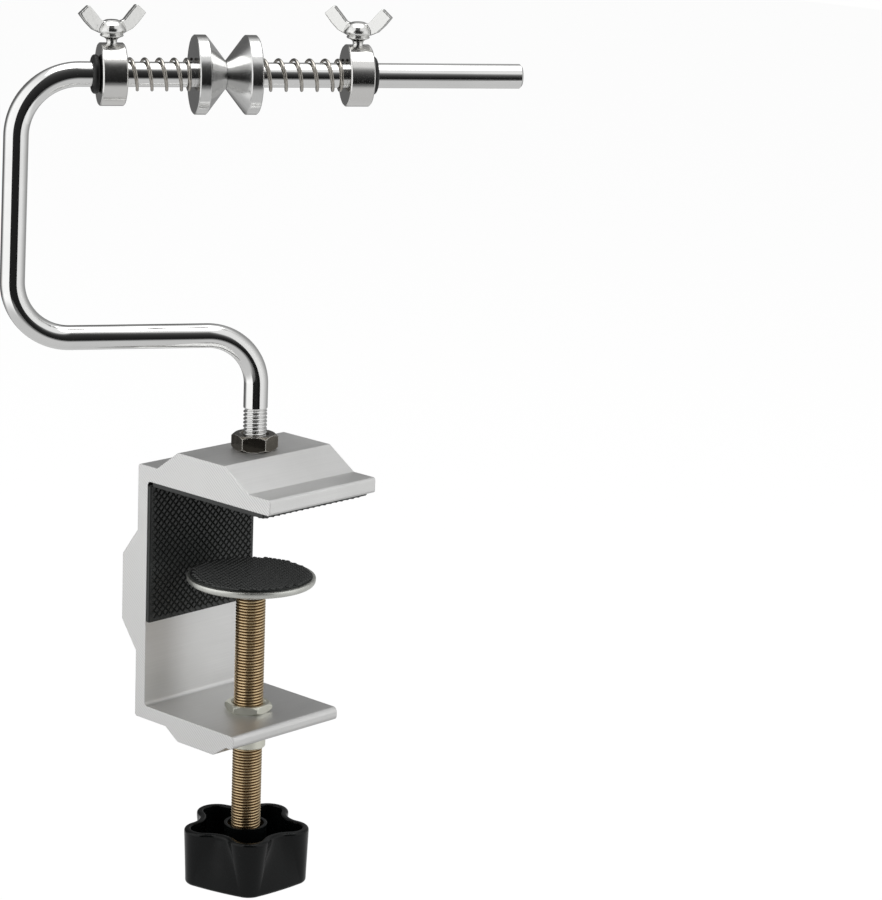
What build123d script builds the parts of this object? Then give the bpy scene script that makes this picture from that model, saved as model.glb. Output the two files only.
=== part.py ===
"""Fishing line winder, in millimetres, +Z up.

A C-shaped clamp grips the edge of a table. A rod screwed into its top jaw is bent twice into a crank
and ends in a level shaft. On the shaft two cones, each pushed by a spring against the other, pinch a
spool of line; a collar with a wing screw backs each spring, and a rubber ring backs each collar.

The origin is where the clamp screw's axis, which is Z, meets the table top, which is the underside
of the top jaw's pad. +X points from the clamp's back out of its mouth, and Y = 0 halves its width.
"""
import os
from math import cos, hypot, pi, radians, sin, sqrt, tan

from build123d import *

# ---- clamp body: one cut length of extruded aluminium ----
clamp_width = 48.0
wall_thickness = 4.6
top_flange = 5.2
lower_flange = 4.5
throat_height = 77.9
top_jaw_length = 62.6
lower_jaw_length = 48.2
screw_reach = 30.0  # from the wall's outer face to the axis of both screws
top_rib_height = 7.2
top_rib_flat = 22.0
top_rib_back_run = 10.0
top_rib_front_run = 11.6
lower_rib_height = 3.9
lower_rib_run = 6.0
lower_lip = 3.5  # flat metal left in front of the lower rib
back_rib_height = 7.2
back_rib_flat = 22.8
back_rib_run = 9.6
back_rib_drop = 43.7  # from the top flange's face to the middle of the back rib
corner_radius = 1.3
rib_radius = 0.9
toe_radius = 1.6

# ---- rubber pads ----
pad_thickness = 2.0
pad_inset = 0.2
back_pad_height = 47.4
top_pad_setback = 3.2  # bare metal left in front of the top pad
pad_edge_radius = 0.5

# ---- running and seating clearances ----
thread_clearance = 0.05
running_clearance = 0.05
seat_gap = 0.3

# ---- bush, clamp screw, swivel and pressure disc ----
screw_diameter = 10.0
screw_end_chamfer = 0.7
bush_hex = 14.0
bush_head = 2.8
bush_diameter = 12.0
bush_below_rib = 4.5
bush_chamfer = 0.5
bush_angle = 37.8
thread_countersink = 0.9
hex_bevel = 38.0  # slope, in degrees, at which a hexagon's corners are turned off
disc_opening = 28.0  # from the top pad down to the face of the disc's pad
disc_diameter = 43.0
disc_edge = 2.4
disc_round = 0.8  # from the rim down to where the disc is widest
disc_rim = 1.1
disc_pad_proud = 1.0
disc_web = 1.4
disc_dish = 0.7
hub_diameter = 14.0
hub_height = 4.1
hub_lip = 0.6
ball_diameter = 4.0
ball_sink = 0.8  # how far the ball stands into the disc's web
head_diameter = 8.0
head_thickness = 1.2
head_below_ball = 0.6  # from the ball's centre to the top of the head
neck_diameter = 5.6
neck_length = 1.8
swivel_play = 0.7  # round the head and the neck, so the disc can tilt

# ---- star knob ----
knob_drop = 80.0  # from the screw's top shoulder to the knob's rim
knob_height = 19.4
knob_lobes = 5
knob_lobe_centre = 14.8
knob_lobe_radius = 7.0
knob_valley_radius = 16.2
knob_foot_lobe_radius = 6.4
knob_foot_valley_radius = 18.9
knob_wall = 2.2
knob_floor = 3.0
knob_edge_radius = 1.2
knob_rim_band = 1.6
knob_rim_radius = 0.9
knob_mouth_radius = 0.5
knob_angle = -38.9
knob_hub_diameter = 14.6
knob_recess_diameter = 12.2
knob_recess_depth = 1.0
insert_cover = 1.5  # black plastic above the insert
insert_diameter = 12.4
insert_length = 12.0
insert_groove = 4.0
insert_groove_depth = 0.5

# ---- bent rod and its lock nut ----
rod_diameter = 8.0
stud_depth = 11.4  # how far the stud stands into the top jaw
nut_hex = 13.4
nut_height = 5.2
nut_angle = 44.3
arm_height = 45.5  # from the top flange's face to the axis of the lower arm
arm_reach = 80.4
arm_angle = 57.5  # swing of the arm about the stud, from +X
shaft_rise = 85.0
riser_lean = 1.15
stud_bend = 16.5
lower_bend = 18.5
upper_bend = 20.0
shaft_length = 144.5  # from the end of the upper bend to the shaft's free end
rod_end_chamfer = 0.6

# ---- collars, rings, cones and springs on the shaft ----
bend_gap = 3.4  # bare shaft between the upper bend and the left ring
collar_diameter = 20.0
collar_width = 8.0
collar_chamfer = 0.4
ring_section = 2.2
cone_diameter = 25.4
cone_rim = 4.0
cone_slope = 6.2
cone_tip_diameter = 9.0
cone_edge = 0.35
cone_gap = 0.1
wire_diameter = 1.0
spring_diameter = 10.8
closed_pitch = 1.5
closed_turns = 1.25
left_spring_length = 22.4
left_spring_turns = 4.0
right_spring_length = 28.9
right_spring_turns = 5.0

# ---- wing screws ----
wing_thread = 4.0
wing_neck = 3.5
wing_boss_diameter = 7.0
wing_boss_height = 1.5
wing_hub_diameter = 8.4
wing_hub_height = 4.6
wing_hub_bulge = 1.5  # from the boss up to where the hub is widest
wing_lift = 1.4  # from the collar's top to the boss
wing_span = 23.0
wing_rise = 9.0
wing_blade = 4.6
wing_belly_out = 7.1
wing_belly_rise = 2.0
wing_root = 3.4  # from the boss up to where the wings leave the hub
wing_thickness = 1.9
left_wing_angle = 74.0
right_wing_angle = 23.2

# ---- places worked out from the sizes ----
outer_x = -screw_reach
inner_x = outer_x + wall_thickness
table_x = inner_x + pad_thickness
lip_x = outer_x + top_jaw_length
toe_x = outer_x + lower_jaw_length
roof_z = pad_thickness
top_z = roof_z + top_flange
crest_z = top_z + top_rib_height
floor_z = roof_z - throat_height
bottom_z = floor_z - lower_flange
keel_z = bottom_z - lower_rib_height
back_rib_z = top_z - back_rib_drop
disc_top_z = -disc_opening
disc_rim_z = disc_top_z - disc_pad_proud
web_top_z = disc_top_z - pad_thickness
web_z = web_top_z - disc_web
ball_z = web_z + ball_sink - ball_diameter / 2
head_z = ball_z - head_below_ball
head_foot_z = head_z - head_thickness
hub_z = web_z - hub_height
shoulder_z = head_foot_z - neck_length
knob_rim_z = shoulder_z - knob_drop
knob_base_z = knob_rim_z - knob_height
insert_z = knob_rim_z - knob_recess_depth - insert_cover
screw_foot_z = insert_z - insert_length
arm_z = top_z + arm_height
shaft_z = arm_z + shaft_rise
riser_shift = shaft_rise * tan(radians(riser_lean))
rib_half = toe_x - lower_lip - lower_rib_run

shaft_start = riser_shift - arm_reach + upper_bend
shaft_end = shaft_start + shaft_length
left_ring_side = shaft_start + bend_gap + ring_section
left_collar_face = left_ring_side + running_clearance + collar_width
left_cone_back = left_collar_face + left_spring_length
right_cone_back = left_cone_back + 2 * (cone_rim + cone_slope) + cone_gap
right_collar_face = right_cone_back + right_spring_length
right_ring_side = right_collar_face + collar_width + running_clearance

arm_x = cos(radians(arm_angle))
arm_y = sin(radians(arm_angle))

os.makedirs("parts", exist_ok=True)


def save(part, name):
    """Labels a finished piece and writes it under the name of its node."""
    part.label = name
    export_step(part, f"parts/{name}.step")


def arm_plane():
    """The upright plane that the bent rod lies in: local x runs along the shaft, local y is up."""
    return Plane(origin=(0, 0, 0), x_dir=(arm_x, arm_y, 0), z_dir=(arm_y, -arm_x, 0))


def shaft_plane(along, forward=True):
    """A plane across the shaft at a distance from the stud's axis. Its z runs along the shaft."""
    way = 1 if forward else -1
    middle = (along * arm_x, along * arm_y, shaft_z)
    return Plane(origin=middle, x_dir=(0, 0, 1), z_dir=(way * arm_x, way * arm_y, 0))


def turned_section(plane):
    """The plane through a turned piece's axis: local x is its radius, and local y the old z."""
    return Plane(origin=plane.origin, x_dir=plane.x_dir, z_dir=plane.x_dir.cross(plane.z_dir))


def clamp_frame():
    """A C profile cut from a long extrusion, with a solid rib outside each of its three walls. The
    top jaw is tapped for the stud, and the lower jaw is bored for the screw's bush."""
    back_foot = -top_rib_flat / 2 - top_rib_back_run
    front_foot = top_rib_flat / 2 + top_rib_front_run
    with BuildPart() as frame:
        with BuildSketch(Plane.XZ) as section:
            with BuildLine():
                Polyline(
                    (outer_x, top_z),
                    (back_foot, top_z),
                    (-top_rib_flat / 2, crest_z),
                    (top_rib_flat / 2, crest_z),
                    (front_foot, top_z),
                    (lip_x, top_z),
                    (lip_x, roof_z),
                    (inner_x, roof_z),
                    (inner_x, floor_z),
                    (toe_x, floor_z),
                    (toe_x, bottom_z),
                    (rib_half + lower_rib_run, bottom_z),
                    (rib_half, keel_z),
                    (-rib_half, keel_z),
                    (-rib_half - lower_rib_run, bottom_z),
                    (outer_x, bottom_z),
                    (outer_x, back_rib_z - back_rib_flat / 2 - back_rib_run),
                    (outer_x - back_rib_height, back_rib_z - back_rib_flat / 2),
                    (outer_x - back_rib_height, back_rib_z + back_rib_flat / 2),
                    (outer_x, back_rib_z + back_rib_flat / 2 + back_rib_run),
                    close=True,
                )
            make_face()
        extrude(amount=clamp_width / 2, both=True)
        long_edges = frame.edges().filter_by(Axis.Y)
        inner = long_edges.filter_by_position(Axis.X, inner_x, inner_x)
        toe = long_edges.filter_by_position(Axis.X, toe_x, toe_x)
        fillet(long_edges - inner - toe, rib_radius)
        fillet(frame.edges().filter_by(Axis.Y).filter_by_position(Axis.X, inner_x, inner_x), corner_radius)
        fillet(frame.edges().filter_by(Axis.Y).filter_by_position(Axis.X, toe_x, toe_x), toe_radius)
        with Locations(Plane.XY.offset(crest_z)):
            Hole(rod_diameter / 2 + thread_clearance, depth=crest_z - roof_z)
        with Locations(Plane.XY.offset(floor_z)):
            Hole(bush_diameter / 2 + thread_clearance, depth=floor_z - keel_z)
    return frame.part


def back_pad():
    """Ribbed rubber sheet stuck to the wall's inner face, from the corner under the top jaw down."""
    head = roof_z - corner_radius
    with BuildPart() as pad:
        with BuildSketch(Plane.YZ.offset(inner_x)):
            with Locations((0, head - back_pad_height / 2)):
                Rectangle(clamp_width - 2 * pad_inset, back_pad_height)
        extrude(amount=pad_thickness)
        fillet(pad.faces().sort_by(Axis.X)[-1].edges(), pad_edge_radius)
    return pad.part


def top_jaw_pad():
    """Ribbed rubber sheet stuck under the top jaw. Its underside rests on the table."""
    length = lip_x - top_pad_setback - table_x
    with BuildPart() as pad:
        with BuildSketch(Plane.XY):
            with Locations((table_x + length / 2, 0)):
                Rectangle(length, clamp_width - 2 * pad_inset)
        extrude(amount=pad_thickness)
    return pad.part


def hex_turned(plane, across_flats, height, turn):
    """A hexagon prism on a plane, with its corners turned off at both ends."""
    corner = across_flats / 2 / cos(pi / 6)
    drop = (corner - across_flats / 2) * tan(radians(hex_bevel))
    with BuildPart() as prism:
        with BuildSketch(plane):
            RegularPolygon(across_flats / 2, 6, major_radius=False, rotation=turn)
        extrude(amount=height)
        with BuildSketch(turned_section(plane)):
            with BuildLine():
                Polyline(
                    (0, 0),
                    (across_flats / 2, 0),
                    (corner, drop),
                    (corner, height - drop),
                    (across_flats / 2, height),
                    (0, height),
                    close=True,
                )
            make_face()
        revolve(axis=Axis(plane.origin, plane.z_dir), mode=Mode.INTERSECT)
    return prism.part


def screw_bush():
    """Plated bush with a thin hexagon on the lower jaw, a sleeve through it and a fine thread."""
    head = Plane.XY.offset(floor_z)
    sleeve_foot = keel_z - bush_below_rib
    with BuildPart() as bush:
        add(hex_turned(head, bush_hex, bush_head, bush_angle))
        with BuildSketch(head):
            Circle(bush_diameter / 2)
        extrude(amount=sleeve_foot - floor_z)
        chamfer(bush.faces().sort_by(Axis.Z)[0].edges(), bush_chamfer)
        with Locations(Plane.XY.offset(floor_z + bush_head)):
            thread = screw_diameter / 2
            CounterSinkHole(thread + thread_clearance, thread + thread_countersink)
    return bush.part


def swivel_ball():
    """Steel ball between the screw's cupped end and the disc, so that the disc doesn't turn."""
    with BuildPart() as ball:
        with Locations((0, 0, ball_z)):
            Sphere(ball_diameter / 2)
    return ball.part


def pressure_disc():
    """Turned metal disc with a shallow seat for its pad, a soft edge, and a hub that is swaged in
    under the head of the screw."""
    radius = disc_diameter / 2
    underside = disc_rim_z - disc_edge
    bore = head_diameter / 2 + swivel_play
    lip_bore = neck_diameter / 2 + swivel_play
    lip_top = hub_z + hub_lip
    section = turned_section(Plane.XY)
    with BuildPart() as disc:
        with BuildSketch(section):
            with BuildLine():
                seat = Polyline((0, web_top_z), (radius - disc_rim, web_top_z), (radius - disc_rim, disc_rim_z))
                rim_top = Line(seat @ 1, (radius - disc_rim / 2, disc_rim_z))
                edge = Spline(
                    rim_top @ 1,
                    (radius, disc_rim_z - disc_round),
                    (radius - disc_edge, underside),
                    tangents=((1, 0), (-1, 0)),
                )
                under = Line(edge @ 1, (hub_diameter / 2 + disc_dish, web_z - disc_dish))
                Polyline(
                    under @ 1,
                    (hub_diameter / 2, web_z - 2 * disc_dish),
                    (hub_diameter / 2, hub_z),
                    (lip_bore, hub_z),
                    (lip_bore, lip_top),
                    (bore, lip_top),
                    (bore, web_z),
                    (0, web_z),
                    (0, web_top_z),
                )
            make_face()
        revolve(axis=Axis.Z)
        with Locations((0, 0, ball_z)):
            Sphere(ball_diameter / 2 + running_clearance, mode=Mode.SUBTRACT)
    return disc.part


def disc_pad():
    """Round ribbed rubber pad glued into the disc's seat, standing a little proud of its rim."""
    with BuildPart() as pad:
        with BuildSketch(Plane.XY.offset(web_top_z)):
            Circle(disc_diameter / 2 - disc_rim - running_clearance)
        extrude(amount=pad_thickness)
        fillet(pad.faces().sort_by(Axis.Z)[-1].edges(), pad_edge_radius)
    return pad.part


def clamp_screw():
    """Fine-threaded screw. Its top end is turned down to a neck and a cupped head that the disc's
    hub holds, and its lower end is moulded into the knob."""
    radius = screw_diameter / 2
    with BuildPart() as screw:
        with BuildSketch(turned_section(Plane.XY)):
            with BuildLine():
                Polyline(
                    (0, head_z),
                    (head_diameter / 2, head_z),
                    (head_diameter / 2, head_foot_z),
                    (neck_diameter / 2, head_foot_z),
                    (neck_diameter / 2, shoulder_z),
                    (radius - screw_end_chamfer, shoulder_z),
                    (radius, shoulder_z - screw_end_chamfer),
                    (radius, screw_foot_z + screw_end_chamfer),
                    (radius - screw_end_chamfer, screw_foot_z),
                    (0, screw_foot_z),
                    close=True,
                )
            make_face()
        revolve(axis=Axis.Z)
        with Locations((0, 0, ball_z)):
            Sphere(ball_diameter / 2 + running_clearance, mode=Mode.SUBTRACT)
    return screw.part


def star(lobe, valley, inset=0.0):
    """The knob's outline: round lobes joined by flanks that are tangent to them and cross the middle
    of each valley. An inset draws the same star a wall's thickness further in."""
    pitch = 2 * pi / knob_lobes
    across = knob_lobe_centre * sin(pitch / 2)
    along = knob_lobe_centre * cos(pitch / 2)
    reach = valley - along
    flank = (reach**2 + across**2 - lobe**2) / (2 * (lobe - reach))
    hollow_centre = valley + flank
    lean = (hollow_centre - along) / (flank + lobe)
    side = across / (flank + lobe)
    crown = lobe - inset
    hollow = flank + inset

    def turned(point, angle):
        return (point[0] * cos(angle) - point[1] * sin(angle), point[0] * sin(angle) + point[1] * cos(angle))

    for k in range(knob_lobes):
        middle = k * pitch
        valley = middle + pitch / 2
        touch = (along + crown * lean, -across + crown * side)
        start = turned((touch[0], -touch[1]), valley - pitch)
        end = turned(touch, valley)
        tip = turned((knob_lobe_centre + crown, 0), middle)
        ThreePointArc(start, tip, end)
        ThreePointArc(end, turned((hollow_centre - hollow, 0), valley), turned((touch[0], -touch[1]), valley))


def knob():
    """Moulded five-lobed star knob, hollow and open towards the clamp, with a round hub inside. Its
    valleys fade from a plain band at the rim towards the foot."""
    foot, floor, band = [
        Plane.XY.offset(level).rotated((0, 0, knob_angle))
        for level in (knob_base_z, knob_base_z + knob_floor, knob_rim_z - knob_rim_band)
    ]
    with BuildPart() as body:
        with BuildSketch(foot):
            with BuildLine():
                star(knob_foot_lobe_radius, knob_foot_valley_radius)
            make_face()
        with BuildSketch(band) as outline:
            with BuildLine():
                star(knob_lobe_radius, knob_valley_radius)
            make_face()
        loft(ruled=True)
        extrude(outline.sketch, amount=knob_rim_band)
        fillet(body.faces().sort_by(Axis.Z)[0].edges(), knob_edge_radius)
        fillet(body.faces().sort_by(Axis.Z)[-1].edges(), knob_rim_radius)
        with BuildSketch(floor):
            with BuildLine():
                star(knob_lobe_radius, knob_valley_radius, knob_wall)
            make_face()
            Circle(knob_hub_diameter / 2, mode=Mode.SUBTRACT)
        extrude(amount=knob_height - knob_floor, mode=Mode.SUBTRACT)
        hub_top, rim_top = body.faces().group_by(Axis.Z)[-1].sort_by(SortBy.AREA)
        fillet(rim_top.inner_wires().edges() + hub_top.edges(), knob_mouth_radius)
        with Locations(Plane.XY.offset(knob_rim_z)):
            Hole(knob_recess_diameter / 2, depth=knob_recess_depth)
            Hole(screw_diameter / 2 + thread_clearance, depth=knob_rim_z - insert_z)
        with Locations(Plane.XY.offset(insert_z)):
            Hole(insert_diameter / 2 + running_clearance, depth=insert_length)
    return body.part


def knob_insert():
    """Threaded metal sleeve moulded into the knob's hub, on the foot of the clamp screw."""
    groove_foot = screw_foot_z + (insert_length - insert_groove) / 2
    with BuildPart() as insert:
        with BuildSketch(Plane.XY.offset(screw_foot_z)):
            Circle(insert_diameter / 2)
        extrude(amount=insert_length)
        with BuildSketch(Plane.XY.offset(groove_foot)):
            Circle(insert_diameter / 2)
            Circle(insert_diameter / 2 - insert_groove_depth, mode=Mode.SUBTRACT)
        extrude(amount=insert_groove, mode=Mode.SUBTRACT)
        with Locations(Plane.XY.offset(insert_z)):
            Hole(screw_diameter / 2 + thread_clearance)
    return insert.part


def lock_nut():
    """Hexagon nut that locks the stud to the top jaw's rib."""
    with BuildPart() as nut:
        add(hex_turned(Plane.XY.offset(crest_z), nut_hex, nut_height, nut_angle))
        with Locations(Plane.XY.offset(crest_z + nut_height)):
            thread = rod_diameter / 2
            CounterSinkHole(thread + thread_clearance, thread + thread_countersink)
    return nut.part


def bent_rod():
    """One bright rod: a threaded stud, a lower arm, a riser that leans a little, and the shaft."""
    plane = arm_plane()
    stud_foot = crest_z - stud_depth
    corners = [
        ((0, arm_z), stud_bend),
        ((-arm_reach, arm_z), lower_bend),
        ((riser_shift - arm_reach, shaft_z), upper_bend),
    ]
    with BuildPart() as rod:
        with BuildLine(plane) as route:
            Polyline((0, stud_foot), *[place for place, radius in corners], (shaft_end, shaft_z))
            for place, radius in corners:
                corner = plane.from_local_coords((place[0], place[1], 0))
                fillet(route.vertices().sort_by_distance(corner)[0], radius)
        with BuildSketch(Plane.XY.offset(stud_foot)):
            Circle(rod_diameter / 2)
        sweep(path=route.wires()[0])
        stud_end = rod.faces().sort_by(Axis.Z)[0]
        free_end = rod.faces().sort_by(Axis(plane.origin, plane.x_dir))[-1]
        chamfer(stud_end.edges() + free_end.edges(), rod_end_chamfer)
    return rod.part


def o_ring(plane):
    """Rubber ring stretched over the shaft, with its side on a plane."""
    section_radius = ring_section / 2
    with BuildPart() as ring:
        with BuildSketch(turned_section(plane)):
            with Locations((rod_diameter / 2 + running_clearance + section_radius, section_radius)):
                Circle(section_radius)
        revolve(axis=Axis(plane.origin, plane.z_dir))
    return ring.part


def collar(plane):
    """Turned collar that slides on the shaft, with a tapped hole for its wing screw."""
    with BuildPart() as body:
        with BuildSketch(plane):
            Circle(collar_diameter / 2)
        extrude(amount=collar_width)
        chamfer(body.edges().filter_by(GeomType.CIRCLE), collar_chamfer)
        with BuildSketch(plane):
            Circle(rod_diameter / 2 + running_clearance)
        extrude(amount=collar_width, mode=Mode.SUBTRACT)
        middle = plane.offset(collar_width / 2).origin
        with BuildSketch(Plane(origin=middle, z_dir=(0, 0, 1))):
            Circle(wing_thread / 2 + thread_clearance)
        extrude(amount=collar_diameter, mode=Mode.SUBTRACT)
    return body.part


def wing_screw(along, turn):
    """Cast wing screw whose point bears on the shaft: a thread, a neck, a boss, a domed hub and two
    flat wings that rise from it in a V."""
    level = Plane(origin=shaft_plane(along).origin, z_dir=(0, 0, 1)).rotated((0, 0, turn))
    section = turned_section(level)
    point = rod_diameter / 2 + thread_clearance
    collar_top = collar_diameter / 2
    boss = collar_top + wing_lift
    hub = boss + wing_boss_height
    crown = hub + wing_hub_height
    tip = hub + wing_rise
    out = wing_span / 2
    blade_step = wing_blade / sqrt(2)
    with BuildPart() as screw:
        with BuildSketch(section):
            with BuildLine():
                Polyline(
                    (0, point),
                    (wing_thread / 2, point),
                    (wing_thread / 2, collar_top - wing_lift),
                    (wing_neck / 2, collar_top - wing_lift / 2),
                    (wing_neck / 2, boss),
                    (wing_boss_diameter / 2, boss),
                    (wing_boss_diameter / 2, hub),
                )
                dome = ThreePointArc(
                    (wing_boss_diameter / 2, hub),
                    (wing_hub_diameter / 2, hub + wing_hub_bulge),
                    (wing_neck / 2, crown),
                )
                Polyline(dome @ 1, (0, crown), (0, point))
            make_face()
        revolve(axis=Axis(level.origin, (0, 0, 1)))
        with BuildSketch(section):
            with BuildLine():
                lower = ThreePointArc(
                    (0, hub),
                    (wing_belly_out, hub + wing_belly_rise),
                    (out, tip - blade_step),
                )
                end = Line(lower @ 1, (out - blade_step, tip))
                inner = Line(end @ 1, (wing_neck / 2, hub + wing_root))
                Polyline(inner @ 1, (0, hub + wing_root), (0, hub))
            make_face()
            mirror(about=Plane.YZ)
        extrude(amount=wing_thickness / 2, both=True)
    return screw.part


def cone(plane):
    """Turned cone with a plain rim and a short hollow bore. Its back lies on a plane."""
    rim = cone_diameter / 2
    with BuildPart() as body:
        with BuildSketch(turned_section(plane)):
            with BuildLine():
                Polyline(
                    (rod_diameter / 2 + running_clearance, 0),
                    (rim - cone_edge, 0),
                    (rim, cone_edge),
                    (rim, cone_rim - cone_edge),
                    (rim - cone_edge, cone_rim),
                    (cone_tip_diameter / 2, cone_rim + cone_slope),
                    (rod_diameter / 2 + running_clearance, cone_rim + cone_slope),
                    close=True,
                )
            make_face()
        revolve(axis=Axis(plane.origin, plane.z_dir))
    return body.part


def biarc(start, start_way, end, end_way):
    """Two arcs, each tangent to a given direction at its outer end and to the other where they meet."""
    chord = end - start
    square = 2 * (1 - start_way.dot(end_way))
    middle = 2 * chord.dot(start_way + end_way)
    reach = (-middle + sqrt(middle**2 + 4 * square * chord.dot(chord))) / (2 * square)
    joint = ((start + start_way * reach) + (end - end_way * reach)) / 2
    first = TangentArc(start, joint, tangent=start_way)
    TangentArc(joint, end, tangent=first % 1)


def coil_points(plane, length, turns):
    """Where a spring's wire passes at each quarter turn, and which way it goes there: close turns
    first, at the plane of its closed end, then open ones to its other end."""
    radius = (spring_diameter - wire_diameter) / 2
    places_a_turn = 4
    total = closed_turns + turns
    close_rise = closed_pitch * closed_turns
    open_pitch = (length - wire_diameter - 2 * seat_gap - close_rise) / turns
    steps = round(places_a_turn * total)

    def rise(turn):
        return closed_pitch * min(turn, closed_turns) + open_pitch * max(turn - closed_turns, 0)

    def pitch(turn):
        if abs(turn - closed_turns) < 1 / (2 * places_a_turn):
            return (closed_pitch + open_pitch) / 2
        return closed_pitch if turn < closed_turns else open_pitch

    places = []
    for k in range(steps + 1):
        turn = k * total / steps
        angle = 2 * pi * turn
        climb = pitch(turn) / (2 * pi)
        place = Vector(radius * cos(angle), radius * sin(angle), seat_gap + wire_diameter / 2 + rise(turn))
        way = Vector(-radius * sin(angle), radius * cos(angle), climb).normalized()
        places.append((plane.from_local_coords(place), plane.from_local_coords(way) - plane.origin))
    return places


def least_gap(wire_path, name):
    """Prints the least distance between two turns of a wire, from points along its middle line."""
    points_a_turn = 48
    skip = points_a_turn // 2
    count = points_a_turn * round(wire_path.length / (pi * spring_diameter))
    points = [tuple(wire_path @ (k / count)) for k in range(count + 1)]
    gaps = [
        hypot(*[a - b for a, b in zip(points[i], points[j])])
        for i in range(len(points))
        for j in range(i + skip, min(i + 4 * skip, len(points)))
    ]
    print(f"{name}: {len(points)} points, least gap to itself {min(gaps) - wire_diameter:.2f} mm")


def spring(plane, length, turns, name):
    """Open-wound spring round the shaft, its closed end on a plane."""
    places = coil_points(plane, length, turns)
    with BuildPart() as coil:
        with BuildLine() as route:
            for (here, way), (there, new_way) in zip(places, places[1:]):
                biarc(here, way, there, new_way)
        wire_path = route.wires()[0]
        with BuildSketch(Plane(origin=wire_path @ 0, z_dir=wire_path % 0)):
            Circle(wire_diameter / 2)
        sweep(path=wire_path)
    least_gap(wire_path, name)
    return coil.part


save(clamp_frame(), "clamp_frame")
save(back_pad(), "back_pad")
save(top_jaw_pad(), "top_jaw_pad")
save(screw_bush(), "screw_bush")
save(swivel_ball(), "swivel_ball")
save(pressure_disc(), "pressure_disc")
save(disc_pad(), "disc_pad")
save(clamp_screw(), "clamp_screw")
save(knob(), "knob")
save(knob_insert(), "knob_insert")
save(lock_nut(), "lock_nut")
save(bent_rod(), "bent_rod")

save(collar(shaft_plane(left_collar_face, forward=False)), "left_collar")
save(o_ring(shaft_plane(left_ring_side, forward=False)), "left_o_ring")
save(wing_screw(left_collar_face - collar_width / 2, left_wing_angle), "left_wing_screw")
save(cone(shaft_plane(left_cone_back)), "left_cone")
save(
    spring(shaft_plane(left_cone_back, forward=False), left_spring_length, left_spring_turns, "left_spring"),
    "left_spring",
)

save(collar(shaft_plane(right_collar_face)), "right_collar")
save(o_ring(shaft_plane(right_ring_side)), "right_o_ring")
save(wing_screw(right_collar_face + collar_width / 2, right_wing_angle), "right_wing_screw")
save(cone(shaft_plane(right_cone_back, forward=False)), "right_cone")
save(
    spring(
        shaft_plane(right_collar_face, forward=False), right_spring_length, right_spring_turns, "right_spring"
    ),
    "right_spring",
)
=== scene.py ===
from math import cos, pi, radians, sin, tan

import bmesh
import bpy
from mathutils import Matrix, Vector


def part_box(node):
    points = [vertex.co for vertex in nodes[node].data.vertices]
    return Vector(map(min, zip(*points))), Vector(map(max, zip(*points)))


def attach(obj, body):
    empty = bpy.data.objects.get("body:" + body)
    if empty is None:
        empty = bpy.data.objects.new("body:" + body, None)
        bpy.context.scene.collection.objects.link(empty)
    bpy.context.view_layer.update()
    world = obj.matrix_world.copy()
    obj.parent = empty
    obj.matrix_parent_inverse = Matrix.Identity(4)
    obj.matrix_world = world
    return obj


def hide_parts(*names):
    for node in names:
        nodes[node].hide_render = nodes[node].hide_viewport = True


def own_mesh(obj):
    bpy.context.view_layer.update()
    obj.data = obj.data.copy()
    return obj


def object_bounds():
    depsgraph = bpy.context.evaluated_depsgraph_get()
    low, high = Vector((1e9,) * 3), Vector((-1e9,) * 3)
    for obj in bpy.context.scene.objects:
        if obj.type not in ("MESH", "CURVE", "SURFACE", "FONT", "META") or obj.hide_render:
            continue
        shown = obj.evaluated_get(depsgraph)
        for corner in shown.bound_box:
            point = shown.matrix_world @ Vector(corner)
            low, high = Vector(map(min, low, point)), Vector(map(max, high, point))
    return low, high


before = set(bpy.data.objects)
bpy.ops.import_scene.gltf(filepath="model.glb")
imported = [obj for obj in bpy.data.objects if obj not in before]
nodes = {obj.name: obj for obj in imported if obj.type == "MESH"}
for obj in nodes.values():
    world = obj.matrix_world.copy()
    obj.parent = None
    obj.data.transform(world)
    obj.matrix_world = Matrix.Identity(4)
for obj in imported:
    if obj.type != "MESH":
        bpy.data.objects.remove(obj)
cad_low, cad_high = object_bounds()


# ---- The floor and the backdrop ----
# A sheet of white paper laid out under the winder, as low as the knob comes when the screw is wound
# right out. The lens sees it as plain white, and the metal mirrors it.


def linear(code):
    """An sRGB hex colour as the linear numbers that shaders take."""
    channels = [int(code[i:i + 2], 16) / 255 for i in (1, 3, 5)]
    return [c / 12.92 if c <= 0.04045 else ((c + 0.055) / 1.055) ** 2.4 for c in channels] + [1.0]


def add(tree, kind, inputs=(), **settings):
    """Adds a node with its own settings. Each input gets a value, or a link where another node's
    output is given. A node stands for its first output in use."""
    made = tree.nodes.new(kind)
    for name, value in settings.items():
        setattr(made, name, value)
    for name, value in dict(inputs).items():
        if isinstance(value, bpy.types.Node):
            value = next(socket for socket in value.outputs if socket.enabled)
        if isinstance(value, bpy.types.NodeSocket):
            tree.links.new(value, made.inputs[name])
        else:
            made.inputs[name].default_value = value
    return made


def new_material(name):
    """An empty node material, its tree, and the place on the object that its patterns read."""
    made = bpy.data.materials.new(name)
    made.use_nodes = True
    made.node_tree.nodes.clear()
    place = add(made.node_tree, "ShaderNodeTexCoord").outputs["Object"]
    return made, made.node_tree, place


def placed(name, data):
    """A new object in the scene, at the origin."""
    made = bpy.data.objects.new(name, data)
    bpy.context.scene.collection.objects.link(made)
    return made


def mesh_of(name, shape):
    """A shape that is finished as a named mesh."""
    mesh = bpy.data.meshes.new(name)
    shape.to_mesh(mesh)
    shape.free()
    return mesh


def taken_from(carrier):
    """The mesh that an object's modifiers make. The object itself is done with."""
    seen = carrier.evaluated_get(bpy.context.evaluated_depsgraph_get())
    result = bpy.data.meshes.new_from_object(seen)
    bpy.data.objects.remove(carrier)
    return result


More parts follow.
